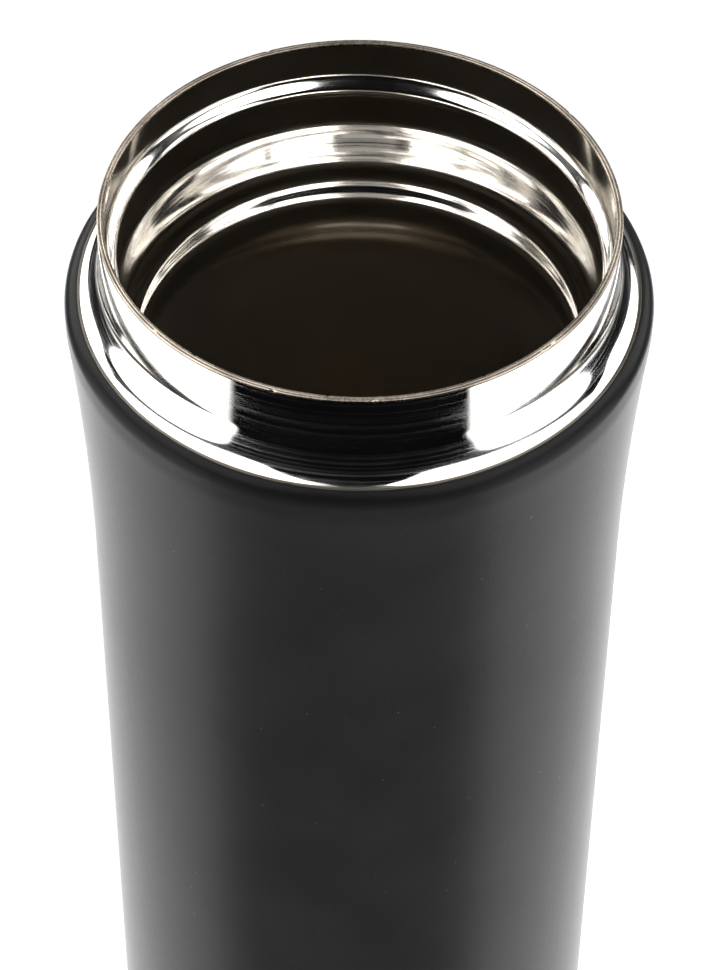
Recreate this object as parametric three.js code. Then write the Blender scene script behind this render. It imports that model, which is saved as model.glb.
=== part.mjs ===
// A vacuum flask, standing open: a steel bottle with two walls and a vacuum between them. The outer
// shell has a bare steel neck, a rounded shoulder and a body that flares in below it. The liner has
// a rolled screw thread and two seats inside the mouth. Millimetres, +Z up, base on z = 0.
import * as THREE from 'three';

// Sizes that can each be set by themselves.
const OVERALL_HEIGHT = 205;
const NECK_RADIUS = 33;
const NECK_HEIGHT = 12.3;
const SHOULDER_WIDTH = 4.8;
const SHOULDER_ROUND = 2;
const SHOULDER_BAND = 2.2;
const WAIST_STEP = 1.9;
const WAIST_LENGTH = 42;
const SHELL_WALL = 0.4;
const LINER_WALL = 0.4;
const VACUUM_GAP = 3;
const FOOT_CORNER = 3;
const FOOT_LIP = 1.5;

// The hollow round from the neck into the ledge, and how many degrees it sweeps.
const NECK_FILLET = 3.6;
const FILLET_SWEEP = 75;

// Inside the mouth: a rolled thread, a wide seat, a narrow seat, the throat and the liner's flare.
const THREAD_DEPTH = 7.2;
const THREAD_PITCH = 3.6;
const THREAD_START = -0.28;
const THREAD_END = 0.78;
const THREAD_RUN_OUT = 0.12;
const RIB_WIDTH = 4;
const RIB_HEIGHT = 1.4;
const WIDE_SEAT_DEPTH = 13.4;
const WIDE_SEAT_DROP = 6.3;
const WIDE_SEAT_STEP = 2.5;
const NARROW_SEAT_GAP = 1.3;
const NARROW_SEAT_DROP = 4;
const NARROW_SEAT_STEP = 1.5;
const THROAT_LENGTH = 2.2;
const FLARE_DROP = 9;

// The two bottoms, what closes the vacuum and what covers it.
const INNER_FLOOR = 10;
const INNER_CORNER = 8;
const SEAM_RISE = 2;
const RECESS_DEPTH = 2.4;
const RECESS_CORNER = 1;
const DIMPLE_RADIUS = 5;
const DIMPLE_RISE = 1.5;
const PORT_RADIUS = 1.1;
const SEAL_RADIUS = 2.6;
const SEAL_HEIGHT = 1.1;
const COVER_WALL = 0.4;
const COVER_STEP = 0.3;
const COVER_CLEARANCE = 0.25;
const ADHESIVE_THICKNESS = 0.8;
const ADHESIVE_INNER = 12;
const GETTER_RADIUS = 3.5;
const GETTER_HEIGHT = 1.6;
const GETTER_OFFSET = 16;
const CLIP_SHEET = 0.25;
const CLIP_WIDTH = 4;
const CLIP_FOOT = 3;
const FOIL_THICKNESS = 0.1;
const FOIL_MARGIN = 3;
const WELD_HEIGHT = 0.3;
const BEAD_SIZE = 0.5;

// Clearances. Sheets that lie on each other have the same facets, so a small gap keeps them apart.
const SHEET_GAP = 0.05;
const PART_GAP = 0.3;

const SEGMENTS = 40;
const SMALL_SEGMENTS = 20;

// Places that follow from the sizes.
const SHOULDER_RADIUS = NECK_RADIUS + SHOULDER_WIDTH;
const BODY_RADIUS = SHOULDER_RADIUS - WAIST_STEP;
const FOOT_RADIUS = BODY_RADIUS - FOOT_CORNER;
const LEDGE_Z = OVERALL_HEIGHT - NECK_HEIGHT;
const SHEET_TOP = OVERALL_HEIGHT - WELD_HEIGHT - SHEET_GAP;
const MOUTH_RADIUS = NECK_RADIUS - SHELL_WALL - SHEET_GAP - LINER_WALL;
const LINER_RADIUS = BODY_RADIUS - SHELL_WALL - VACUUM_GAP - LINER_WALL;
const SEAM_Z = INNER_FLOOR + INNER_CORNER + SEAM_RISE;
const RECESS_RADIUS = FOOT_RADIUS - FOOT_LIP - SHEET_GAP - SHELL_WALL;
const COVER_TOP = RECESS_DEPTH - SHEET_GAP - ADHESIVE_THICKNESS - SHEET_GAP;
const COVER_RADIUS = RECESS_RADIUS - COVER_CLEARANCE;

const STEEL = { color: 0xb9b6b1, metalness: 1, roughness: 0.12 };
const SPUN_STEEL = { color: 0xa8a49d, metalness: 1, roughness: 0.35 };
const WELD_STEEL = { color: 0xa2978a, metalness: 1, roughness: 0.4 };
const BLACK_COAT = { color: 0x2a2a2b, metalness: 0, roughness: 0.55 };
const COPPER = { color: 0xb87348, metalness: 1, roughness: 0.3 };
const GLASS_SOLDER = { color: 0x3b3f45, metalness: 0, roughness: 0.3 };
const FOAM_TAPE = { color: 0xd8d6cf, metalness: 0, roughness: 0.9 };
const GETTER_METAL = { color: 0x5f5d5a, metalness: 0.6, roughness: 0.7 };

const flask = new THREE.Group();

function addPiece(name, geometry, finish) {
  const piece = new THREE.Mesh(geometry, new THREE.MeshStandardMaterial(finish));
  piece.name = name;
  flask.add(piece);
  return piece;
}

const point = (radius, z) => new THREE.Vector2(radius, z);

// Points of an arc about a centre, angles in degrees, 0 pointing outwards and 90 upwards.
function arc(radius, z, size, from, to, steps) {
  const points = [];
  for (let i = 0; i <= steps; i += 1) {
    const angle = THREE.MathUtils.degToRad(from + ((to - from) * i) / steps);
    points.push(point(radius + size * Math.cos(angle), z + size * Math.sin(angle)));
  }
  return points;
}

// Points of an S of two equal arcs between two places, level in radius at both ends.
function rolledStep(from, to, steps) {
  const across = to.x - from.x;
  const up = to.y - from.y;
  const sweep = 2 * Math.atan(Math.abs(across / up));
  const size = up / 2 / Math.sin(sweep);
  const points = [];
  for (let i = 0; i <= steps; i += 1) {
    const part = i / steps;
    const angle = 2 * sweep * Math.min(part, 1 - part);
    const sideways = Math.sign(across) * Math.abs(size) * (1 - Math.cos(angle));
    const along = size * Math.sin(angle);
    if (part <= 0.5) {
      points.push(point(from.x + sideways, from.y + along));
    } else {
      points.push(point(to.x - sideways, to.y - along));
    }
  }
  return points;
}

// The line moved sideways by a distance: to its left, seen along the line, when it is positive.
function offsetLine(line, distance) {
  return line.map((here, i) => {
    const before = line[Math.max(i - 1, 0)];
    const after = line[Math.min(i + 1, line.length - 1)];
    const into = (i > 0 ? here.clone().sub(before) : after.clone().sub(here)).normalize();
    const out = (i < line.length - 1 ? after.clone().sub(here) : into.clone()).normalize();
    const side = point(-into.y - out.y, into.x + out.x).normalize();
    const spread = side.dot(point(-into.y, into.x));
    return here.clone().addScaledVector(side, distance / spread);
  });
}

// A sheet of even thickness that follows a line.
const sheetOutline = (line, thickness) => [...line, ...offsetLine(line, thickness).reverse()];

// A closed outline turned about Z. An outline that touches the axis starts and ends on it.
function turned(outline, segments = SEGMENTS) {
  const points = THREE.ShapeUtils.area(outline) < 0 ? [...outline].reverse() : [...outline];
  const touchesAxis = points.some((p) => p.x === 0);
  while (touchesAxis && !(points[0].x === 0 && points.at(-1).x === 0)) {
    points.push(points.shift());
  }
  if (!touchesAxis) points.push(points[0].clone());
  return new THREE.LatheGeometry(points, segments).rotateX(Math.PI / 2);
}

const ring = (inner, outer, low, high) => [
  point(inner, low),
  point(outer, low),
  point(outer, high),
  point(inner, high),
];

// Outside of the shell, from the foot's lip up to the lip of the neck.
function shellLine() {
  const shoulderTop = LEDGE_Z - SHOULDER_ROUND;
  const waistTop = shoulderTop - SHOULDER_BAND;
  const filletZ = LEDGE_Z + NECK_FILLET * Math.sin(FILLET_SWEEP * Math.PI / 180);
  const waist = [];
  const waistSteps = 6;
  for (let i = 0; i <= waistSteps; i += 1) {
    const part = i / waistSteps;
    waist.push(point(BODY_RADIUS + WAIST_STEP * part ** 2, waistTop - WAIST_LENGTH * (1 - part)));
  }
  return [
    point(FOOT_RADIUS - FOOT_LIP, 0),
    ...arc(FOOT_RADIUS, FOOT_CORNER, FOOT_CORNER, -90, 0, 3),
    ...waist,
    ...arc(SHOULDER_RADIUS - SHOULDER_ROUND, shoulderTop, SHOULDER_ROUND, 0, 90, 4),
    ...arc(NECK_RADIUS + NECK_FILLET, filletZ, NECK_FILLET, 180 + FILLET_SWEEP, 180, 5),
    point(NECK_RADIUS, SHEET_TOP),
  ];
}

// Inside of the liner, from the seam with its bottom up to the lip of the mouth.
function linerLine() {
  const wideTop = OVERALL_HEIGHT - WIDE_SEAT_DEPTH;
  const wideLow = wideTop - WIDE_SEAT_DROP;
  const narrowTop = wideLow - NARROW_SEAT_GAP;
  const narrowLow = narrowTop - NARROW_SEAT_DROP;
  const flareTop = narrowLow - THROAT_LENGTH;
  const seatRadius = MOUTH_RADIUS - WIDE_SEAT_STEP;
  const throatRadius = seatRadius - NARROW_SEAT_STEP;
  const threadRows = [];
  const threadSpan = THREAD_PITCH + 1.2 * RIB_WIDTH;
  const threadSteps = 10;
  for (let i = 0; i <= threadSteps; i += 1) {
    const part = i / threadSteps - 0.5;
    threadRows.push(point(MOUTH_RADIUS, OVERALL_HEIGHT - THREAD_DEPTH + threadSpan * part));
  }
  return [
    point(LINER_RADIUS, SEAM_Z),
    ...rolledStep(point(LINER_RADIUS, flareTop - FLARE_DROP), point(throatRadius, flareTop), 4),
    ...rolledStep(point(throatRadius, narrowLow), point(seatRadius, narrowTop), 4),
    ...rolledStep(point(seatRadius, wideLow), point(MOUTH_RADIUS, wideTop), 6),
    ...threadRows,
    point(MOUTH_RADIUS, SHEET_TOP),
  ];
}

// How far the rolled rib stands in from the wall. A turn is a whole circle, counted from +X.
function ribDepth(turn, z) {
  let depth = 0;
  for (let lap = -1; lap <= 1; lap += 1) {
    const travel = turn + lap;
    const toEnd = Math.min(travel - THREAD_START, THREAD_END - travel) / THREAD_RUN_OUT;
    const fade = THREE.MathUtils.smoothstep(toEnd, 0, 1);
    const centre = OVERALL_HEIGHT - THREAD_DEPTH + THREAD_PITCH * (travel - 0.25);
    const across = Math.min(Math.abs(z - centre) / (RIB_WIDTH / 2), 1);
    depth += (RIB_HEIGHT * fade * (1 + Math.cos(Math.PI * across))) / 2;
  }
  return depth;
}

function rollThread(geometry) {
  const place = geometry.getAttribute('position');
  for (let i = 0; i < place.count; i += 1) {
    const radius = Math.hypot(place.getX(i), place.getY(i));
    const turn = Math.atan2(place.getY(i), place.getX(i)) / (2 * Math.PI);
    const scale = 1 - ribDepth(turn, place.getZ(i)) / radius;
    place.setXY(i, place.getX(i) * scale, place.getY(i) * scale);
  }
  geometry.computeVertexNormals();
  return geometry;
}

// The walls and the weld that joins them at the lip.
addPiece('outer_shell', turned(sheetOutline(shellLine(), SHELL_WALL)), BLACK_COAT);
addPiece('inner_liner', rollThread(turned(sheetOutline(linerLine(), -LINER_WALL))), STEEL);
addPiece(
  'rim_weld',
  turned(ring(MOUTH_RADIUS, NECK_RADIUS, OVERALL_HEIGHT - WELD_HEIGHT, OVERALL_HEIGHT)),
  WELD_STEEL,
);

// The liner's bottom, butted to the liner, with a bead around the seam on the vacuum side.
const innerBottomLine = [
  point(0, INNER_FLOOR),
  ...arc(LINER_RADIUS - INNER_CORNER, INNER_FLOOR + INNER_CORNER, INNER_CORNER, -90, 0, 5),
  point(LINER_RADIUS, SEAM_Z - SHEET_GAP),
];
addPiece('inner_bottom', turned(sheetOutline(innerBottomLine, -LINER_WALL)), STEEL);

const linerOutside = LINER_RADIUS + LINER_WALL;
const beadInside = linerOutside + SHEET_GAP;
const beadOutline = [
  point(beadInside, SEAM_Z - BEAD_SIZE),
  point(beadInside + BEAD_SIZE, SEAM_Z - BEAD_SIZE / 2),
  point(beadInside + BEAD_SIZE, SEAM_Z + BEAD_SIZE / 2),
  point(beadInside, SEAM_Z + BEAD_SIZE),
];
addPiece('liner_seam_weld', turned(beadOutline), WELD_STEEL);

// Copper foil around the liner and under its bottom keeps radiant heat in.
const foilInside = linerOutside + SHEET_GAP;
const foilLow = SEAM_Z + BEAD_SIZE + FOIL_MARGIN;
const foilHigh = OVERALL_HEIGHT - WIDE_SEAT_DEPTH - WIDE_SEAT_DROP - NARROW_SEAT_GAP
  - NARROW_SEAT_DROP - THROAT_LENGTH - FLARE_DROP - FOIL_MARGIN;
addPiece(
  'foil_wrap',
  turned(ring(foilInside, foilInside + FOIL_THICKNESS, foilLow, foilHigh)),
  COPPER,
);
const foilDiscTop = INNER_FLOOR - LINER_WALL - SHEET_GAP;
const foilDisc = [
  point(0, foilDiscTop - FOIL_THICKNESS),
  point(LINER_RADIUS - INNER_CORNER, foilDiscTop - FOIL_THICKNESS),
  point(LINER_RADIUS - INNER_CORNER, foilDiscTop),
  point(0, foilDiscTop),
];
addPiece('foil_disc', turned(foilDisc), COPPER);

// The outer bottom: a flange inside the foot, a flat, and a dimple with the port the air left by.
const dimpleZ = RECESS_DEPTH + DIMPLE_RISE;
const outerBottomLine = [
  point(PORT_RADIUS, dimpleZ),
  point(DIMPLE_RADIUS, dimpleZ),
  point(DIMPLE_RADIUS + DIMPLE_RISE, RECESS_DEPTH),
  ...arc(RECESS_RADIUS - RECESS_CORNER, RECESS_DEPTH - RECESS_CORNER, RECESS_CORNER, 90, 0, 3),
  point(RECESS_RADIUS, WELD_HEIGHT + SHEET_GAP),
];
addPiece('outer_bottom', turned(sheetOutline(outerBottomLine, SHELL_WALL)), SPUN_STEEL);
addPiece(
  'foot_weld',
  turned(ring(RECESS_RADIUS, RECESS_RADIUS + SHELL_WALL, SHEET_GAP, WELD_HEIGHT)),
  WELD_STEEL,
);

// Solder glass that melted over the port and into it.
const sealTop = dimpleZ - SHEET_GAP;
const plugRadius = PORT_RADIUS - PART_GAP;
const sealOutline = [
  point(0, sealTop - SEAL_HEIGHT),
  point(0.7 * SEAL_RADIUS, sealTop - 0.85 * SEAL_HEIGHT),
  point(SEAL_RADIUS, sealTop - 0.3 * SEAL_HEIGHT),
  point(SEAL_RADIUS, sealTop),
  point(plugRadius, sealTop),
  point(plugRadius, dimpleZ + SHELL_WALL),
  point(0, dimpleZ + SHELL_WALL),
];
addPiece('vacuum_seal', turned(sealOutline, SMALL_SEGMENTS), GLASS_SOLDER);

// A pressed disc hides the seal. It is stuck to the outer bottom by a ring of tape.
const tapeOuter = COVER_RADIUS - 4 * COVER_STEP - FOIL_MARGIN;
const coverLine = [
  point(0, COVER_TOP - COVER_WALL),
  point(tapeOuter + COVER_STEP, COVER_TOP - COVER_WALL),
  point(tapeOuter + 3 * COVER_STEP, COVER_TOP - COVER_WALL - COVER_STEP),
  point(COVER_RADIUS, COVER_TOP - COVER_WALL - COVER_STEP),
];
addPiece('base_cover', turned(sheetOutline(coverLine, COVER_WALL)), SPUN_STEEL);
const tapeLow = COVER_TOP + SHEET_GAP;
addPiece(
  'cover_tape',
  turned(ring(ADHESIVE_INNER, tapeOuter, tapeLow, tapeLow + ADHESIVE_THICKNESS)),
  FOAM_TAPE,
);

// The getter pellet soaks up stray gas. A sheet clip holds it on the vacuum side of the bottom.
const getterFloor = RECESS_DEPTH + SHELL_WALL + SHEET_GAP;
const pellet = new THREE.CylinderGeometry(GETTER_RADIUS, GETTER_RADIUS, GETTER_HEIGHT, SMALL_SEGMENTS);
pellet.rotateX(Math.PI / 2);
addPiece('getter_pellet', pellet, GETTER_METAL)
  .position.set(GETTER_OFFSET, 0, getterFloor + GETTER_HEIGHT / 2);

const clipRise = GETTER_HEIGHT + PART_GAP;
const clipKnee = GETTER_RADIUS + 2 * PART_GAP;
const clipHalf = [
  point(clipKnee, clipRise),
  point(clipKnee + PART_GAP, 0),
  point(clipKnee + PART_GAP + CLIP_FOOT, 0),
];
const clipLine = [...clipHalf.map((p) => point(-p.x, p.y)).reverse(), ...clipHalf];
const clip = new THREE.ExtrudeGeometry(new THREE.Shape(sheetOutline(clipLine, CLIP_SHEET)), {
  depth: CLIP_WIDTH,
  bevelEnabled: false,
});
clip.translate(0, 0, -CLIP_WIDTH / 2);
clip.rotateX(Math.PI / 2);
addPiece('getter_clip', clip, SPUN_STEEL).position.set(GETTER_OFFSET, 0, getterFloor);

export default flask;
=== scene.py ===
"""Looks for the vacuum flask: smooth turned pieces, metal, powder coat and studio light on the CAD frame."""

import math

import bpy
from mathutils import Matrix, Vector, noise


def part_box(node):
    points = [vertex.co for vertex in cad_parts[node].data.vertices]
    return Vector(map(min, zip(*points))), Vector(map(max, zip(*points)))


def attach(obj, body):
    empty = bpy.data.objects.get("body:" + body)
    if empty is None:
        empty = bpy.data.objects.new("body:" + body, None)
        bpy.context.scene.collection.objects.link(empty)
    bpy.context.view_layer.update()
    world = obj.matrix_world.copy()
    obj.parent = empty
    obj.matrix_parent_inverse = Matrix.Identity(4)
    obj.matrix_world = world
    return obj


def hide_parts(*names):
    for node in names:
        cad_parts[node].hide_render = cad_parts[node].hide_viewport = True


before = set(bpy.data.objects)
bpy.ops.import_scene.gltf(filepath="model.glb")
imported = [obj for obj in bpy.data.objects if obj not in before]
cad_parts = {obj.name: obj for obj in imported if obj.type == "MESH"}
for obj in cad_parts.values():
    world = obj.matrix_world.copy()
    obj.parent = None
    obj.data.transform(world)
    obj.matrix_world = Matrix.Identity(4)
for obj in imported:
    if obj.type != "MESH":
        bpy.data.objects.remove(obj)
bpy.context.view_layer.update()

# Outlines are worked out in millimetres, as (radius, height), and become metres in the meshes.
MM = 0.001


def size_of(node):
    """Largest radius, lowest and highest place of a turned CAD node, in millimetres."""
    low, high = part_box(node)
    return high.x / MM, low.z / MM, high.z / MM


NECK_RADIUS, WELD_LOW, TOP = size_of("rim_weld")
SHOULDER_RADIUS, _, SHEET_TOP = size_of("outer_shell")
BEAD_RADIUS, _, _ = size_of("liner_seam_weld")
LINER_OUTSIDE, SEAM_TOP, _ = size_of("inner_liner")
_, FLOOR_UNDER, _ = size_of("inner_bottom")
FOIL_RADIUS, FOIL_LOW, FOIL_HIGH = size_of("foil_wrap")
DISC_RADIUS, DISC_LOW, DISC_HIGH = size_of("foil_disc")
FLANGE_RADIUS, FLANGE_LOW, DIMPLE_TOP = size_of("outer_bottom")
COVER_RADIUS, COVER_LOW, COVER_HIGH = size_of("base_cover")
TAPE_RADIUS, TAPE_LOW, TAPE_HIGH = size_of("cover_tape")
SEAL_RADIUS, SEAL_LOW, SEAL_HIGH = size_of("vacuum_seal")

WALL = 0.4
SHEET_GAP = 0.05
VACUUM_GAP = 3

# Steps around each turned piece.
COAT_SEGMENTS = 640
SHEET_SEGMENTS = 320
LIP_SEGMENTS = 1080
PIECE_SEGMENTS = 192

# Outside of the shell.
NECK_HEIGHT = 12.3
LEDGE_Z = TOP - NECK_HEIGHT
SHOULDER_ROUND = 2
SHOULDER_BAND = 2.2
WAIST_STEP = 1.9
WAIST_LENGTH = 42
BODY_RADIUS = SHOULDER_RADIUS - WAIST_STEP
FOOT_CORNER = 3
FOOT_LIP = 1.5
FOOT_RADIUS = BODY_RADIUS - FOOT_CORNER
NECK_FILLET = 3.6
FILLET_SWEEP = 75
FILLET_STRETCH = 1.3
LEDGE_START = NECK_FILLET * (1 - math.cos(math.radians(FILLET_SWEEP)))
COAT_EDGE_RADIUS = SHOULDER_RADIUS - 1.75
COAT_THICKNESS = 0.07

# Inside of the mouth.
MOUTH_RADIUS = NECK_RADIUS - 2 * WALL - SHEET_GAP
LINER_RADIUS = BODY_RADIUS - WALL - VACUUM_GAP - WALL
THREAD_DEPTH = 7.2
THREAD_PITCH = 3.6
THREAD_START = -0.28
THREAD_END = 0.78
THREAD_RUN_OUT = 0.12
RIB_WIDTH = 4
RIB_HEIGHT = 1.4
WIDE_SEAT_DEPTH = 13.4
WIDE_SEAT_DROP = 6.3
WIDE_SEAT_STEP = 2.5
STRAIGHT_SHARE = 0.35
NARROW_SEAT_GAP = 1.3
NARROW_SEAT_DROP = 4
NARROW_SEAT_STEP = 1.5
THROAT_LENGTH = 2.2
FLARE_DROP = 9
INNER_CORNER = 8
INNER_FLOOR = FLOOR_UNDER + WALL

# Underside.
RECESS_CORNER = 1
RECESS_Z = TAPE_HIGH + SHEET_GAP
DIMPLE_RADIUS = 5
DIMPLE_RISE = DIMPLE_TOP - WALL - RECESS_Z
PORT_RADIUS = 1.1
COVER_STEP = 0.3
TAPE_INNER = 12

# Foil around and under the liner.
FOIL_WALL = 0.1
FOIL_EDGE = 0.02


# --- outlines ---------------------------------------------------------------------------------


def arc(radius, z, size, start, end, steps):
    """Points of an arc about a centre. Angles are in degrees, 0 outwards and 90 upwards."""
    points = []
    for i in range(steps + 1):
        angle = math.radians(start + (end - start) * i / steps)
        points.append(Vector((radius + size * math.cos(angle), z + size * math.sin(angle))))
    return points


def rolled_step(start, end, steps):
    """Points of an S of two equal arcs between two places, level in radius at both ends."""
    across, up = end[0] - start[0], end[1] - start[1]
    sweep = 2 * math.atan(abs(across / up))
    size = up / 2 / math.sin(sweep)
    points = []
    for i in range(steps + 1):
        part = i / steps
        angle = 2 * sweep * min(part, 1 - part)
        sideways = math.copysign(size * (1 - math.cos(angle)), across)
        rise = size * math.sin(angle)
        if part <= 0.5:
            points.append(Vector((start[0] + sideways, start[1] + rise)))
        else:
            points.append(Vector((end[0] - sideways, end[1] - rise)))
    return points


def eased_step(start, end, steps):
    """Points of a softer S between two places: part straight, part cosine."""
    points = []
    for i in range(steps + 1):
        part = i / steps
        eased = STRAIGHT_SHARE * part + (1 - STRAIGHT_SHARE) * (1 - math.cos(math.pi * part)) / 2
        points.append(Vector((start[0] + (end[0] - start[0]) * eased, start[1] + (end[1] - start[1]) * part)))
    return points


def straight(start, end, steps):
    return [Vector(start).lerp(Vector(end), i / steps) for i in range(steps + 1)]


def joined(*runs):
    """One line from several runs of points, without doubled points."""
    line = []
    for run in runs:
        for p in run:
            if not line or (Vector(p) - line[-1]).length > 1e-4:
                line.append(Vector(p))
    return line


def softened(line, size, steps=4):
    """The line with each sharp corner replaced by a small curve."""
    out = [line[0]]
    for before, here, after in zip(line, line[1:], line[2:]):
        a, b = before - here, after - here
        turn = math.pi - a.angle(b)
        if turn < math.radians(14):
            out.append(here)
            continue
        cut_a = here + a * min(size / a.length, 0.45)
        cut_b = here + b * min(size / b.length, 0.45)
        for i in range(steps + 1):
            t = i / steps
            out.append(cut_a * (1 - t) ** 2 + here * 2 * t * (1 - t) + cut_b * t**2)
    out.append(line[-1])
    return out


def offset_line(line, distance):
    """The line moved sideways: to its left, seen along the line, when the distance is positive."""
    out = []
    for i, here in enumerate(line):
        into = here - line[i - 1] if i > 0 else line[1] - here
        away = line[i + 1] - here if i < len(line) - 1 else into
        into, away = into.normalized(), away.normalized()
        side = Vector((-into.y - away.y, into.x + away.x)).normalized()
        out.append(here + side * (distance / side.dot(Vector((-into.y, into.x)))))
    return out


def sheet_outline(line, thickness):
    return list(line) + offset_line(line, thickness)[::-1]


def box_outline(inner, outer, low, high, edge=0.05):
    corners = [(inner, low), (outer, low), (outer, high), (inner, high)]
    points = [Vector(c) for c in corners]
    if inner == 0:
        return [points[0], *softened(points[0:4], edge)[1:]]
    return softened([points[-1], *points, points[0]], edge)[1:-1]


# --- meshes -----------------------------------------------------------------------------------


def make_piece(name, verts, faces, slot, material, *nodes, sharp=35):
    """A closed mesh piece that rides on the flask and stands for the named CAD nodes."""
    mesh = bpy.data.meshes.new(name)
    mesh.from_pydata(verts, [], faces)
    mesh.validate()
    mesh.shade_smooth()
    mesh.set_sharp_from_angle(angle=math.radians(sharp))
    mesh.materials.append(material)
    piece = bpy.data.objects.new(name, mesh)
    bpy.context.scene.collection.objects.link(piece)
    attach(piece, "root")
    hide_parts(*nodes)
    return piece


def turned(outline, segments, shape=None):
    """Vertices and faces of an outline turned about Z. shape(point, angle, index) may move each point."""
    area = sum(a.x * b.y - b.x * a.y for a, b in zip(outline, outline[1:] + outline[:1]))
    points = list(outline) if area > 0 else list(outline)[::-1]
    verts, rows = [], []
    for i, p in enumerate(points):
        if p.x < 1e-6:
            rows.append([len(verts)] * segments)
            verts.append((0, 0, p.y * MM))
            continue
        rows.append(list(range(len(verts), len(verts) + segments)))
        for s in range(segments):
            angle = 2 * math.pi * s / segments
            q = shape(p, angle, i) if shape else p
            verts.append((q.x * math.cos(angle) * MM, q.x * math.sin(angle) * MM, q.y * MM))
    faces = []
    for i in range(len(rows)):
        low, high = rows[i], rows[(i + 1) % len(rows)]
        if low[0] == low[-1] and high[0] == high[-1]:
            continue
        for s in range(segments):
            n = (s + 1) % segments
            face = [low[s], low[n], high[n], high[s]]
            faces.append(tuple(dict.fromkeys(face)))
    return verts, faces


def shell_runs():
    """The shell's outside, from the foot's lip to the top of the neck, in two runs split at the coat's edge."""
    shoulder_top = LEDGE_Z - SHOULDER_ROUND
    waist_top = shoulder_top - SHOULDER_BAND
    waist_low = waist_top - WAIST_LENGTH
    waist = []
    for i in range(37):
        part = i / 36
        waist.append(Vector((BODY_RADIUS + WAIST_STEP * part**2, waist_low + WAIST_LENGTH * part)))
    centre = SHOULDER_RADIUS - SHOULDER_ROUND
    edge = math.degrees(math.acos((COAT_EDGE_RADIUS - centre) / SHOULDER_ROUND))
    coated = joined(
        straight((FOOT_RADIUS - FOOT_LIP, 0), (FOOT_RADIUS, 0), 3),
        arc(FOOT_RADIUS, FOOT_CORNER, FOOT_CORNER, -90, 0, 16),
        straight((BODY_RADIUS, FOOT_CORNER), (BODY_RADIUS, waist_low), 24),
        waist,
        straight((SHOULDER_RADIUS, waist_top), (SHOULDER_RADIUS, shoulder_top), 3),
        arc(centre, shoulder_top, SHOULDER_ROUND, 0, edge, 18),
    )
    fillet_z = LEDGE_Z + NECK_FILLET * math.sin(math.radians(FILLET_SWEEP))
    fillet = arc(NECK_RADIUS + NECK_FILLET, fillet_z, NECK_FILLET, 180 + FILLET_SWEEP, 180, 60)
    for p in fillet:
        p.y = LEDGE_Z + (p.y - LEDGE_Z) * FILLET_STRETCH
    bare = joined(
        arc(centre, shoulder_top, SHOULDER_ROUND, edge, 90, 4),
        fillet,
        straight(fillet[-1], (NECK_RADIUS, SHEET_TOP), 10),
    )
    return coated, softened(bare, 0.1)


def along(line, distance):
    """The place on a line at a distance from its start."""
    for a, b in zip(line, line[1:]):
        step = (b - a).length
        if distance <= step:
            return a.lerp(b, max(distance, 0) / step)
        distance -= step
    return line[-1] + (line[-1] - line[-2]).normalized() * distance


def ragged(angle):
    """How far the coat's edge wanders at an angle, in millimetres."""
    place = Vector((math.cos(angle), math.sin(angle), 0))
    slow = noise.noise(place * 3.1)
    middle = noise.noise(place * 14 + Vector((5, 0, 0)))
    fine = noise.noise(place * 45 + Vector((0, 7, 0)))
    return 0.10 * slow + 0.13 * middle + 0.16 * fine


def make_coat(material):
    """The powder coat: a thin skin from under the foot to a ragged edge on the shoulder."""
    coated, bare = shell_runs()
    reach = 1.2
    line = joined(coated, bare)
    length = sum((b - a).length for a, b in zip(coated, coated[1:]))
    edge_steps = 8
    lengths = [0.0]
    for a, b in zip(coated, coated[1:]):
        lengths.append(lengths[-1] + (b - a).length)
    lengths = [d for d in lengths if d < length - reach - 0.2]
    lengths += [length - reach + reach * i / edge_steps for i in range(edge_steps + 1)]
    inner_line = offset_line(line, COAT_THICKNESS)
    rows = [(d, False) for d in lengths] + [(d, True) for d in reversed(lengths)]

    def place(row, angle):
        distance, inside = row
        pull = max(0.0, (distance - length + reach) / reach)
        where = distance + pull * ragged(angle)
        if inside or pull > 0.98:
            thin = 1.0 if inside else 0.35
            outer, under = along(line, where), along(inner_line, where)
            return outer.lerp(under, thin)
        return along(line, where)

    flat = [place(row, 0) for row in rows]
    verts, faces = turned(flat, COAT_SEGMENTS, lambda p, angle, i: place(rows[i], angle))
    return make_piece("shell_coat", verts, faces, "powder_coated_steel", material, "outer_shell")


def make_shell(material):
    """The bare steel sheet of the shell, a coat's thickness inside the coat."""
    coated, bare = shell_runs()
    under = offset_line(coated, COAT_THICKNESS)
    line = joined(under[:-1], bare)
    verts, faces = turned(sheet_outline(line, WALL - COAT_THICKNESS), SHEET_SEGMENTS)
    return make_piece("shell_sheet", verts, faces, "polished_steel", material, "outer_shell", sharp=60)


def rib_depth(turn, z):
    """How far the rolled rib stands in from the wall. A turn is a whole circle, counted from +X."""
    depth = 0
    for lap in (-1, 0, 1):
        travel = turn + lap
        to_end = min(max(min(travel - THREAD_START, THREAD_END - travel) / THREAD_RUN_OUT, 0), 1)
        fade = to_end * to_end * (3 - 2 * to_end)
        centre = TOP - THREAD_DEPTH + THREAD_PITCH * (travel - 0.25)
        across = min(abs(z - centre) / (RIB_WIDTH / 2), 1)
        depth += RIB_HEIGHT * fade * (1 + math.cos(math.pi * across)) / 2
    return depth


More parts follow.
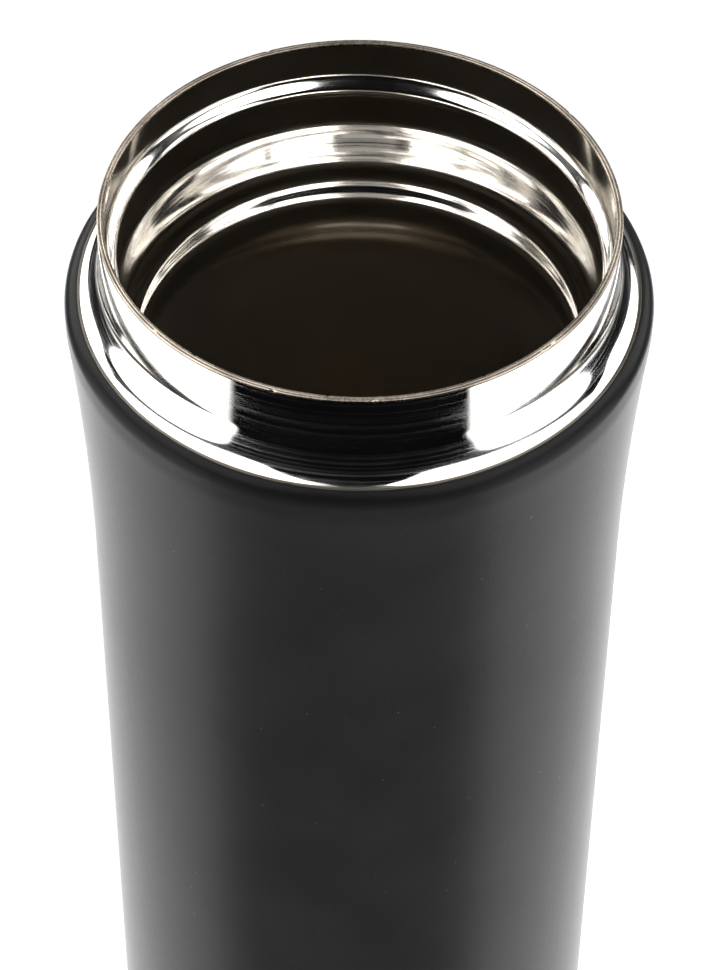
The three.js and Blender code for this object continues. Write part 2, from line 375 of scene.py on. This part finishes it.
def liner_line():
    """Inside of the liner from the seam to the lip of the mouth."""
    wide_top = TOP - WIDE_SEAT_DEPTH
    wide_low = wide_top - WIDE_SEAT_DROP
    narrow_top = wide_low - NARROW_SEAT_GAP
    narrow_low = narrow_top - NARROW_SEAT_DROP
    flare_top = narrow_low - THROAT_LENGTH
    flare_low = flare_top - FLARE_DROP
    seat = MOUTH_RADIUS - WIDE_SEAT_STEP
    throat = seat - NARROW_SEAT_STEP
    return joined(
        straight((LINER_RADIUS, SEAM_TOP), (LINER_RADIUS, flare_low), 20),
        rolled_step((LINER_RADIUS, flare_low), (throat, flare_top), 24),
        straight((throat, flare_top), (throat, narrow_low), 4),
        rolled_step((throat, narrow_low), (seat, narrow_top), 20),
        straight((seat, narrow_top), (seat, wide_low), 6),
        eased_step((seat, wide_low), (MOUTH_RADIUS, wide_top), 40),
        straight((MOUTH_RADIUS, wide_top), (MOUTH_RADIUS, SHEET_TOP), 60),
    )


def make_liner(material):
    def roll(p, angle, _):
        return Vector((p.x - rib_depth(angle / (2 * math.pi), p.y), p.y))

    verts, faces = turned(sheet_outline(liner_line(), -WALL), SHEET_SEGMENTS, roll)
    return make_piece("liner", verts, faces, "polished_steel", material, "inner_liner", sharp=60)


# Chips in the lip: place and half width in degrees, depth in millimetres, outer edge or not.
RIM_CHIPS = (
    (-44.0, 0.9, 0.28, True),
    (-47.5, 0.4, 0.16, True),
    (-86.5, 0.5, 0.14, True),
    (-96.5, 0.35, 0.2, False),
    (-108.0, 0.6, 0.12, True),
    (-128.0, 0.45, 0.16, False),
    (-139.0, 0.8, 0.12, True),
    (-62.0, 0.35, 0.14, False),
    (35.0, 0.5, 0.15, True),
    (112.0, 0.6, 0.15, True),
    (171.0, 0.5, 0.16, False),
)


def make_rim_weld(material):
    """The ground lip: rounded edges, a hair-wide groove where the two sheets meet, and a few chips."""
    middle = (MOUTH_RADIUS + NECK_RADIUS) / 2
    groove, deep = 0.045, 0.05
    sharp = [
        Vector(p)
        for p in (
            (MOUTH_RADIUS, WELD_LOW),
            (NECK_RADIUS, WELD_LOW),
            (NECK_RADIUS, TOP),
            (middle + groove, TOP),
            (middle, TOP - deep),
            (middle - groove, TOP),
            (MOUTH_RADIUS, TOP),
        )
    ]
    outline = softened([sharp[-1], *sharp, sharp[0]], 0.14)[1:-1]

    def chip(p, angle, _):
        q = p.copy()
        place = Vector((math.cos(angle), math.sin(angle), p.y))
        high = max(0.0, (p.y - WELD_LOW) / (TOP - WELD_LOW))
        wander = noise.noise(place * 40) * 0.008 * high
        outward = 1 if p.x > middle else -1
        if abs(p.x - middle) > 0.25:
            q.x -= outward * abs(wander)
        for at, half, depth, outer in RIM_CHIPS:
            off = abs((math.degrees(angle) - at + 180) % 360 - 180) / half
            if off < 1 and outer == (p.x > middle) and abs(p.x - middle) > 0.1:
                bite = depth * high * (1 - off * off) * (abs(p.x - middle) / 0.42)
                q.x -= outward * bite
                q.y -= 0.4 * bite
        return q

    verts, faces = turned(outline, LIP_SEGMENTS, chip)
    return make_piece("lip_weld", verts, faces, "ground_weld", material, "rim_weld", sharp=50)


def make_turned(name, outline, slot, material, *nodes, segments=PIECE_SEGMENTS):
    verts, faces = turned(outline, segments)
    return make_piece(name, verts, faces, slot, material, *nodes)


def make_floor_of_liner(material):
    line = joined(
        [(0, INNER_FLOOR)],
        straight((2, INNER_FLOOR), (LINER_RADIUS - INNER_CORNER, INNER_FLOOR), 8),
        arc(LINER_RADIUS - INNER_CORNER, INNER_FLOOR + INNER_CORNER, INNER_CORNER, -90, 0, 24),
        [(LINER_RADIUS, SEAM_TOP - SHEET_GAP)],
    )
    return make_turned("liner_floor", sheet_outline(line, -WALL), "polished_steel", material, "inner_bottom")


def make_outer_bottom(material):
    line = softened(
        joined(
            [(PORT_RADIUS, RECESS_Z + DIMPLE_RISE)],
            [(DIMPLE_RADIUS, RECESS_Z + DIMPLE_RISE)],
            [(DIMPLE_RADIUS + DIMPLE_RISE, RECESS_Z)],
            straight((DIMPLE_RADIUS + 3, RECESS_Z), (FLANGE_RADIUS - WALL - RECESS_CORNER, RECESS_Z), 8),
            arc(FLANGE_RADIUS - WALL - RECESS_CORNER, RECESS_Z - RECESS_CORNER, RECESS_CORNER, 90, 0, 10),
            [(FLANGE_RADIUS - WALL, FLANGE_LOW)],
        ),
        0.5,
    )
    outline = sheet_outline(line, WALL)
    return make_turned("outer_bottom_pressed", outline, "spun_steel", material, "outer_bottom")


def make_base_cover(material):
    top = COVER_LOW + COVER_STEP
    line = softened(
        joined(
            [(0, top)],
            straight((2, top), (TAPE_RADIUS + COVER_STEP, top), 6),
            [(TAPE_RADIUS + 3 * COVER_STEP, COVER_LOW)],
            [(COVER_RADIUS, COVER_LOW)],
        ),
        0.25,
    )
    outline = sheet_outline(line, COVER_HIGH - top)
    return make_turned("base_cover_disc", outline, "spun_steel", material, "base_cover")


def make_seal(material):
    low, high, plug = SEAL_LOW, SEAL_HIGH, PORT_RADIUS - 0.3
    flange = RECESS_Z + DIMPLE_RISE - SHEET_GAP
    dome = [Vector((SEAL_RADIUS * math.sin(a), flange - (flange - low) * math.cos(a)))
            for a in (math.radians(90 * i / 14) for i in range(15))]
    dome[0].x = 0.0
    outline = joined(dome, [(plug, flange), (plug, high), (0, high)])
    return make_turned("solder_glass_bead", outline, "solder_glass", material, "vacuum_seal", segments=64)


def make_seam_bead(material):
    inside = LINER_OUTSIDE + SHEET_GAP
    size = BEAD_RADIUS - inside
    bulge = [Vector((inside + size * math.cos(a), SEAM_TOP + size * math.sin(a)))
             for a in (math.radians(-90 + 180 * i / 12) for i in range(13))]
    return make_turned("seam_bead", bulge, "ground_weld", material, "liner_seam_weld")


# --- materials --------------------------------------------------------------------------------


class Nodes:
    """A short way to write a material's node tree."""

    def __init__(self, name):
        self.material = bpy.data.materials.new(name)
        self.material.use_nodes = True
        self.tree = self.material.node_tree
        self.shader = self.tree.nodes["Principled BSDF"]
        coordinates = self.add("ShaderNodeTexCoord")
        self.place = coordinates.outputs["Object"]

    def add(self, kind, **values):
        node = self.tree.nodes.new(kind)
        for key, value in values.items():
            setattr(node, key, value)
        return node

    def link(self, source, target):
        if isinstance(source, (int, float, tuple)):
            target.default_value = source
        else:
            self.tree.links.new(source, target)

    def math(self, operation, a, b=0.0, c=0.0):
        node = self.add("ShaderNodeMath", operation=operation)
        for value, socket in zip((a, b, c), node.inputs):
            self.link(value, socket)
        return node.outputs[0]

    def ramp(self, value, low, high, to_low=0.0, to_high=1.0):
        node = self.add("ShaderNodeMapRange", interpolation_type="SMOOTHSTEP")
        for item, socket in zip((value, low, high, to_low, to_high), node.inputs):
            self.link(item, socket)
        return node.outputs[0]

    def noise(self, where, scale, detail=2.0, roughness=0.5):
        node = self.add("ShaderNodeTexNoise")
        self.link(where, node.inputs["Vector"])
        node.inputs["Scale"].default_value = scale
        node.inputs["Detail"].default_value = detail
        node.inputs["Roughness"].default_value = roughness
        return node.outputs[0]

    def stretched(self, scale):
        node = self.add("ShaderNodeMapping")
        self.link(self.place, node.inputs["Vector"])
        node.inputs["Scale"].default_value = scale
        return node.outputs[0]

    def mix(self, factor, a, b):
        node = self.add("ShaderNodeMix", data_type="RGBA")
        self.link(factor, node.inputs[0])
        self.link(a, node.inputs[6])
        self.link(b, node.inputs[7])
        return node.outputs[2]

    def bump(self, height, strength, distance):
        node = self.add("ShaderNodeBump")
        node.inputs["Strength"].default_value = strength
        node.inputs["Distance"].default_value = distance
        self.link(height, node.inputs["Height"])
        self.link(node.outputs[0], self.shader.inputs["Normal"])

    def rings(self):
        """Radius and height as a vector, so that a noise on it runs in rings around the flask."""
        split = self.add("ShaderNodeSeparateXYZ")
        self.link(self.place, split.inputs[0])
        flat = self.math("SQRT", self.math("ADD", self.math("POWER", split.outputs[0], 2.0),
                                           self.math("POWER", split.outputs[1], 2.0)))
        join = self.add("ShaderNodeCombineXYZ")
        self.link(flat, join.inputs[0])
        self.link(split.outputs[2], join.inputs[2])
        return flat, split.outputs[2], join.outputs[0]


def polished_steel():
    """Mirror-polished steel with hazy polishing lines that run around it, and a dark, raw ledge."""
    n = Nodes("polished_steel")
    n.shader.inputs["Metallic"].default_value = 1.0
    radius, height, ring_place = n.rings()
    fine = n.noise(ring_place, 9000, 3, 0.7)
    coarse = n.noise(ring_place, 1600, 2, 0.6)
    patches = n.noise(n.stretched((1, 1, 3)), 70, 3, 0.6)
    scratches = n.math("MULTIPLY", n.ramp(fine, 0.5, 0.72), n.ramp(patches, 0.38, 0.6))
    strong = n.math("MULTIPLY", n.ramp(coarse, 0.66, 0.72), n.ramp(patches, 0.5, 0.6))
    lines = n.math("MAXIMUM", scratches, strong)
    ledge = n.math("MULTIPLY", n.ramp(radius, (NECK_RADIUS + LEDGE_START - 0.1) * MM,
                                      (NECK_RADIUS + LEDGE_START + 0.15) * MM),
                   n.ramp(height, (LEDGE_Z - 3) * MM, (LEDGE_Z - 2) * MM))
    tint = n.mix(patches, (0.66, 0.635, 0.60, 1), (0.60, 0.58, 0.55, 1))
    colour = n.mix(ledge, tint, (0.06, 0.052, 0.042, 1))
    n.link(colour, n.shader.inputs["Base Color"])
    rough = n.math("ADD", 0.035, n.math("MULTIPLY", lines, 0.24))
    rough = n.math("ADD", rough, n.math("MULTIPLY", ledge, 0.36))
    n.link(rough, n.shader.inputs["Roughness"])
    haze = n.ramp(n.noise(ring_place, 1100, 5, 0.8), 0.47, 0.62)
    hazy = n.math("MULTIPLY", haze, n.ramp(patches, 0.3, 0.6, 0.35, 1.0))
    n.link(n.math("MAXIMUM", hazy, lines), n.shader.inputs["Coat Weight"])
    n.shader.inputs["Coat Roughness"].default_value = 0.36
    n.shader.inputs["Coat IOR"].default_value = 2.3
    n.shader.inputs["Coat Tint"].default_value = (0.90, 0.95, 1, 1)
    n.bump(n.math("ADD", n.math("MULTIPLY", fine, 0.3), lines), 0.05, 0.00004)
    return n.material


def satin_steel():
    """Steel of the liner: it reflects a little softly, and below the throat it turns rougher, with a darker,
    warmer colour painted in as shade deep inside the liner.
    """
    n = Nodes("satin_steel")
    n.shader.inputs["Metallic"].default_value = 1.0
    _, height, ring_place = n.rings()
    fine = n.noise(ring_place, 2600, 3, 0.65)
    blotches = n.noise(n.stretched((1, 1, 2)), 160, 4, 0.6)
    # Painted shade: from 20 to 40 mm below the lip the base colour fades to a dark warm tone, standing in for
    # shade deep in the liner. The roughness also rises there.
    deep = n.ramp(height, (TOP - 20) * MM, (TOP - 40) * MM)
    colour = n.mix(blotches, (0.80, 0.775, 0.735, 1), (0.73, 0.705, 0.665, 1))
    n.link(n.mix(deep, colour, (0.40, 0.36, 0.30, 1)), n.shader.inputs["Base Color"])
    rough = n.math("ADD", n.ramp(blotches, 0.25, 0.75, 0.07, 0.12), n.math("MULTIPLY", deep, 0.25))
    n.link(n.math("ADD", rough, n.ramp(fine, 0.3, 0.7, -0.015, 0.015)), n.shader.inputs["Roughness"])
    n.bump(fine, 0.12, 0.00004)
    return n.material


def ground_weld():
    """Ground weld metal: dull, warm, with fine lines and darker specks."""
    n = Nodes("ground_weld")
    n.shader.inputs["Metallic"].default_value = 1.0
    specks = n.noise(n.place, 1400, 3, 0.6)
    stains = n.noise(n.place, 120, 3, 0.6)
    colour = n.mix(n.ramp(stains, 0.35, 0.65), (0.29, 0.25, 0.205, 1), (0.15, 0.127, 0.103, 1))
    colour = n.mix(n.ramp(specks, 0.64, 0.72), colour, (0.14, 0.11, 0.08, 1))
    n.link(colour, n.shader.inputs["Base Color"])
    n.link(n.ramp(specks, 0.2, 0.8, 0.18, 0.36), n.shader.inputs["Roughness"])
    n.bump(specks, 0.12, 0.00002)
    return n.material


def powder_coat():
    """Black powder coat: a satin skin with a fine orange-peel grain, a few pale specks of dust, and a painted
    sheen that turns its colour pale grey towards grazing edges.
    """
    n = Nodes("powder_coat")
    grain = n.noise(n.place, 2600, 3, 0.55)
    swell = n.noise(n.place, 700, 2, 0.5)
    tone = n.noise(n.place, 60, 3, 0.5)
    dust = n.noise(n.place, 1500, 1, 0.4)
    colour = n.mix(n.ramp(tone, 0.3, 0.7), (0.035, 0.035, 0.0365, 1), (0.044, 0.044, 0.0455, 1))
    colour = n.mix(n.ramp(dust, 0.80, 0.82), colour, (0.16, 0.16, 0.16, 1))
    # Painted sheen: towards grazing angles the base colour is mixed to pale grey, a painted reflection of the
    # bright surroundings at the coat's edges.
    facing = n.add("ShaderNodeLayerWeight")
    painted_sheen = n.math("POWER", facing.outputs["Facing"], 5.0)
    n.link(n.mix(painted_sheen, colour, (0.5, 0.5, 0.5, 1)), n.shader.inputs["Base Color"])
    n.link(n.ramp(grain, 0.25, 0.75, 0.28, 0.36), n.shader.inputs["Roughness"])
    n.shader.inputs["Specular IOR Level"].default_value = 0.05
    height = n.math("ADD", n.math("MULTIPLY", grain, 0.6), n.math("MULTIPLY", swell, 0.8))
    n.bump(height, 0.35, 0.00006)
    return n.material


def spun_steel():
    """Plain drawn steel with lines that run around it."""
    n = Nodes("spun_steel")
    n.shader.inputs["Metallic"].default_value = 1.0
    _, _, ring_place = n.rings()
    fine = n.noise(ring_place, 5000, 3, 0.7)
    stains = n.noise(n.place, 90, 3, 0.5)
    n.link(n.mix(stains, (0.58, 0.56, 0.53, 1), (0.50, 0.48, 0.45, 1)), n.shader.inputs["Base Color"])
    n.link(n.ramp(fine, 0.3, 0.7, 0.2, 0.38), n.shader.inputs["Roughness"])
    n.bump(fine, 0.15, 0.00003)
    return n.material


def plain_finish(name, low, high, rough, metallic, grain_scale, bump):
    """A material with two close tones, an uneven gloss and a fine grain."""
    n = Nodes(name)
    n.shader.inputs["Metallic"].default_value = metallic
    tone = n.noise(n.place, grain_scale / 8, 3, 0.5)
    grain = n.noise(n.place, grain_scale, 3, 0.6)
    n.link(n.mix(n.ramp(tone, 0.3, 0.7), low, high), n.shader.inputs["Base Color"])
    n.link(n.ramp(grain, 0.2, 0.8, rough - 0.08, rough + 0.08), n.shader.inputs["Roughness"])
    n.bump(grain, bump, 0.00008)
    return n.material


STEEL = polished_steel()
SATIN = satin_steel()
WELD = ground_weld()
COAT = powder_coat()
SPUN = spun_steel()
COPPER = plain_finish("copper_foil", (0.80, 0.40, 0.24, 1), (0.70, 0.33, 0.19, 1), 0.3, 1.0, 900, 0.6)
GLASS = plain_finish("solder_glass", (0.04, 0.045, 0.055, 1), (0.06, 0.06, 0.065, 1), 0.22, 0.0, 600, 0.2)
FOAM = plain_finish("foam_tape", (0.70, 0.69, 0.64, 1), (0.60, 0.59, 0.54, 1), 0.88, 0.0, 1800, 0.7)
GETTER = plain_finish("getter_metal", (0.12, 0.115, 0.11, 1), (0.08, 0.078, 0.075, 1), 0.7, 0.5, 2500, 0.6)


# --- the flask --------------------------------------------------------------------------------

make_coat(COAT)
make_shell(STEEL)
make_liner(SATIN)
make_rim_weld(WELD)
make_floor_of_liner(SATIN)
make_outer_bottom(SPUN)
make_base_cover(SPUN)
make_seal(GLASS)
make_seam_bead(WELD)
foot_bead = box_outline(FLANGE_RADIUS - WALL, FLANGE_RADIUS, SHEET_GAP, FLANGE_LOW - SHEET_GAP)
tape = box_outline(TAPE_INNER, TAPE_RADIUS, TAPE_LOW, TAPE_HIGH)
foil_around = box_outline(FOIL_RADIUS - FOIL_WALL, FOIL_RADIUS, FOIL_LOW, FOIL_HIGH, FOIL_EDGE)
foil_under = box_outline(0, DISC_RADIUS, DISC_LOW, DISC_HIGH, FOIL_EDGE)
make_turned("foot_weld_bead", foot_bead, "ground_weld", WELD, "foot_weld")
make_turned("tape_ring", tape, "foam_tape", FOAM, "cover_tape")
make_turned("foil_around", foil_around, "copper_foil", COPPER, "foil_wrap")
make_turned("foil_under", foil_under, "copper_foil", COPPER, "foil_disc")

for node, material in (("getter_pellet", GETTER), ("getter_clip", SPUN)):
    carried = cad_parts[node]
    carried.data.materials.clear()
    carried.data.materials.append(material)


# --- the studio -------------------------------------------------------------------------------

# The camera stands in front and above, and looks at a place on the axis below the lip.
CAMERA_FORWARD = 320.9
CAMERA_ABOVE_LIP = 301.1
AIM_BELOW_LIP = 50.9
AIM_ASIDE = 0.36
CAMERA_ROLL = 0.63
LENS = 129.9


def make_camera():
    data = bpy.data.cameras.new("camera")
    data.sensor_width = 36
    data.lens = LENS
    data.clip_start = 0.01
    camera = bpy.data.objects.new("camera", data)
    bpy.context.scene.collection.objects.link(camera)
    place = Vector((0, -CAMERA_FORWARD, TOP + CAMERA_ABOVE_LIP)) * MM
    aim = Vector((AIM_ASIDE, 0, TOP - AIM_BELOW_LIP)) * MM
    turn = (aim - place).to_track_quat("-Z", "Y").to_matrix().to_4x4()
    roll = Matrix.Rotation(math.radians(CAMERA_ROLL), 4, "Z")
    camera.matrix_world = Matrix.Translation(place) @ turn @ roll
    bpy.context.scene.camera = camera


def panel_light(name, strength, fade, roundness):
    """Light that fades out towards the panel's rim, with rounded corners."""
    n = Nodes(name)
    tree = n.tree
    tree.nodes.remove(n.shader)
    around = tree.nodes.new("ShaderNodeUVMap")
    split = tree.nodes.new("ShaderNodeSeparateXYZ")
    tree.links.new(around.outputs[0], split.inputs[0])
    sides = []
    for k in (0, 1):
        off = n.math("ABSOLUTE", n.math("SUBTRACT", n.math("MULTIPLY", split.outputs[k], 2.0), 1.0))
        sides.append(n.math("POWER", off, roundness))
    rim = n.math("POWER", n.math("ADD", sides[0], sides[1]), 1 / roundness)
    glow = tree.nodes.new("ShaderNodeEmission")
    glow.inputs["Color"].default_value = (1, 1, 1, 1)
    glow.inputs["Strength"].default_value = strength
    clear = tree.nodes.new("ShaderNodeBsdfTransparent")
    mix = tree.nodes.new("ShaderNodeMixShader")
    n.link(n.ramp(rim, 1.0, 1.0 - fade), mix.inputs[0])
    n.link(clear.outputs[0], mix.inputs[1])
    n.link(glow.outputs[0], mix.inputs[2])
    tree.links.new(mix.outputs[0], tree.nodes["Material Output"].inputs["Surface"])
    return n.material


def panel(name, around, above, strength, fade=0.1, roundness=6.0, reach=0.9):
    """A curved softbox on a sphere about the mouth. Degrees: 0 is in front, positive to the right.

    It shows in reflections only. The floor lights the coat.
    """
    steps = 24
    verts, faces, places = [], [], []
    centre = Vector((0, 0, TOP * MM))
    for i in range(steps + 1):
        high = math.radians(above[0] + (above[1] - above[0]) * i / steps)
        for j in range(steps + 1):
            side = math.radians(around[0] + (around[1] - around[0]) * j / steps)
            way = Vector((math.sin(side) * math.cos(high), -math.cos(side) * math.cos(high), math.sin(high)))
            verts.append(centre + way * reach)
            places.append((j / steps, i / steps))
    for i in range(steps):
        for j in range(steps):
            a = i * (steps + 1) + j
            faces.append((a, a + 1, a + steps + 2, a + steps + 1))
    mesh = bpy.data.meshes.new(name)
    mesh.from_pydata(verts, [], faces)
    uv = mesh.uv_layers.new(name="across")
    for loop in mesh.loops:
        uv.data[loop.index].uv = places[loop.vertex_index]
    mesh.materials.append(panel_light(name + "_light", strength, fade, roundness))
    box = bpy.data.objects.new(name, mesh)
    bpy.context.scene.collection.objects.link(box)
    box.visible_camera = False
    box.visible_shadow = False
    box.visible_diffuse = False


def make_floor():
    mesh = bpy.data.meshes.new("floor")
    reach = 6.0
    mesh.from_pydata([(-reach, -reach, 0), (reach, -reach, 0), (reach, reach, 0), (-reach, reach, 0)], [],
                     [(0, 1, 2, 3)])
    n = Nodes("floor")
    n.shader.inputs["Base Color"].default_value = (0.9, 0.9, 0.9, 1)
    n.shader.inputs["Roughness"].default_value = 0.7
    n.shader.inputs["Emission Color"].default_value = (1, 1, 1, 1)
    n.shader.inputs["Emission Strength"].default_value = 0.98
    mesh.materials.append(n.material)
    floor = bpy.data.objects.new("floor", mesh)
    floor.location.z = -0.0002
    floor.visible_glossy = False
    bpy.context.scene.collection.objects.link(floor)


def make_world():
    """Pale to the camera, dim to everything else, so that the panels and the floor light the flask."""
    world = bpy.data.worlds.new("world")
    world.use_nodes = True
    tree = world.node_tree
    tree.nodes.clear()
    paths = tree.nodes.new("ShaderNodeLightPath")
    seen = tree.nodes.new("ShaderNodeBackground")
    seen.inputs["Color"].default_value = (1, 1, 1, 1)
    dim = tree.nodes.new("ShaderNodeBackground")
    dim.inputs["Color"].default_value = (0.004, 0.004, 0.005, 1)
    mix = tree.nodes.new("ShaderNodeMixShader")
    output = tree.nodes.new("ShaderNodeOutputWorld")
    tree.links.new(paths.outputs["Is Camera Ray"], mix.inputs[0])
    tree.links.new(dim.outputs[0], mix.inputs[1])
    tree.links.new(seen.outputs[0], mix.inputs[2])
    tree.links.new(mix.outputs[0], output.inputs["Surface"])
    bpy.context.scene.world = world


make_camera()
make_floor()
make_world()
panel("low_left", (-108, -46), (-50, 31), 4, roundness=3.2)
panel("low_right", (42, 97), (-52, 30), 4, roundness=3.4)
panel("high_left", (-125, -36), (34.5, 84), 5, roundness=5)
panel("high_right", (24.5, 120), (35, 84), 5, roundness=5)
panel("table_left", (-185, -62), (-80, -27), 2, fade=0.05, reach=1.1)
panel("table_right", (58, 175), (-80, -27), 2, fade=0.05, reach=1.1)
panel("back_left", (-160, -110), (3, 84), 6, reach=1.1)
panel("back_right", (105, 142), (3, 84), 6, reach=1.1)
panel("between_left", (-112, -49), (24, 44), 0.14, fade=0.3, reach=1.2)
panel("between_right", (48, 100), (24, 44), 0.14, fade=0.3, reach=1.2)
panel("back", (150, 200), (5, 70), 0.6, reach=1.2)

view_settings = bpy.context.scene.view_settings
view_settings.view_transform = "Standard"
view_settings.look = "None"
view_settings.exposure = 0
